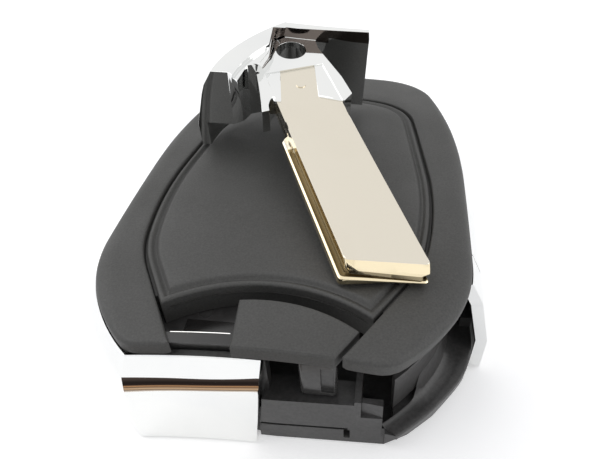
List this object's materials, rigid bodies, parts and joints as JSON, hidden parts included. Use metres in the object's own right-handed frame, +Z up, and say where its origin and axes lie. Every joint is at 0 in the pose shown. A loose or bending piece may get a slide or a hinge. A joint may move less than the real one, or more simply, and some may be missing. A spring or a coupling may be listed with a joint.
{
  "type": "car smart-key fob with emergency key",
  "caption": "Car smart-key fob with a chrome side band and soft grey back, its emergency key pulled out and laid across the back.",
  "frame": {"origin": "middle of the button face, on the table plane, under the fob's middle", "axes": "X across the fob, Y from the key end to the far end, Z up from the button face to the back; the key pocket is at +X, -Y"},
  "size_m": [0.0436, 0.0608, 0.026],
  "materials": {
    "graphite_housing": "fine spark texture, dark graphite",
    "black_chassis": "semi-gloss black moulding",
    "soft_grey": "fine-grained soft-touch warm dark grey",
    "seal_rubber": "soft black rubber",
    "bright_chrome": "polished chrome plating",
    "latch_black": "glossy black",
    "spring_steel": "bright spring wire",
    "blade_steel": "smooth satin-bright nickel",
    "button_plastic": "satin dark grey",
    "board_green": "green solder mask",
    "switch_black": "black moulding",
    "cell_steel": "nickelled steel can",
    "contact_gold": "thin plated spring sheet",
    "component_dark": "dark ferrite block",
    "screw_steel": "zinc-plated steel"
  },
  "bodies": {
    "case": {"front_housing": "graphite_housing", "inner_chassis": "black_chassis", "back_frame": "soft_grey", "back_panel": "soft_grey", "case_seal": "seal_rubber", "chrome_trim": "bright_chrome", "chrome_trim_end": "bright_chrome", "key_head": "bright_chrome", "key_blade": "blade_steel", "key_pin": "blade_steel", "button_pad": "seal_rubber", "circuit_board": "board_green", "switch_lock": "switch_black", "switch_unlock": "switch_black", "switch_boot": "switch_black", "coin_cell": "cell_steel", "battery_contact_positive": "contact_gold", "battery_contact_negative": "contact_gold", "antenna_coil": "component_dark", "radio_chip": "component_dark", "crystal": "cell_steel", "case_screws": "screw_steel"},
    "release": {"release_slider": "soft_grey", "release_latch": "latch_black", "release_spring": "spring_steel"},
    "button_lock": {"button_lock": "button_plastic"},
    "button_unlock": {"button_unlock": "button_plastic"},
    "button_boot": {"button_boot": "button_plastic"}
  },
  "joints": [
    {"name": "release_slide", "type": "slide", "parent": "case", "child": "release", "axis": [-1, 0, 0], "range_m": [0, 0.0026], "stiffness_N_per_m": 120, "springref_m": -0.002, "deforming": ["release_spring"]},
    {"name": "press_lock", "type": "slide", "parent": "case", "child": "button_lock", "axis": [0, 0, 1], "range_m": [0, 0.0005], "stiffness_N_per_m": 900, "springref_m": -0.0003},
    {"name": "press_unlock", "type": "slide", "parent": "case", "child": "button_unlock", "axis": [0, 0, 1], "range_m": [0, 0.0005], "stiffness_N_per_m": 900, "springref_m": -0.0003},
    {"name": "press_boot", "type": "slide", "parent": "case", "child": "button_boot", "axis": [0, 0, 1], "range_m": [0, 0.0005], "stiffness_N_per_m": 900, "springref_m": -0.0003}
  ]
}
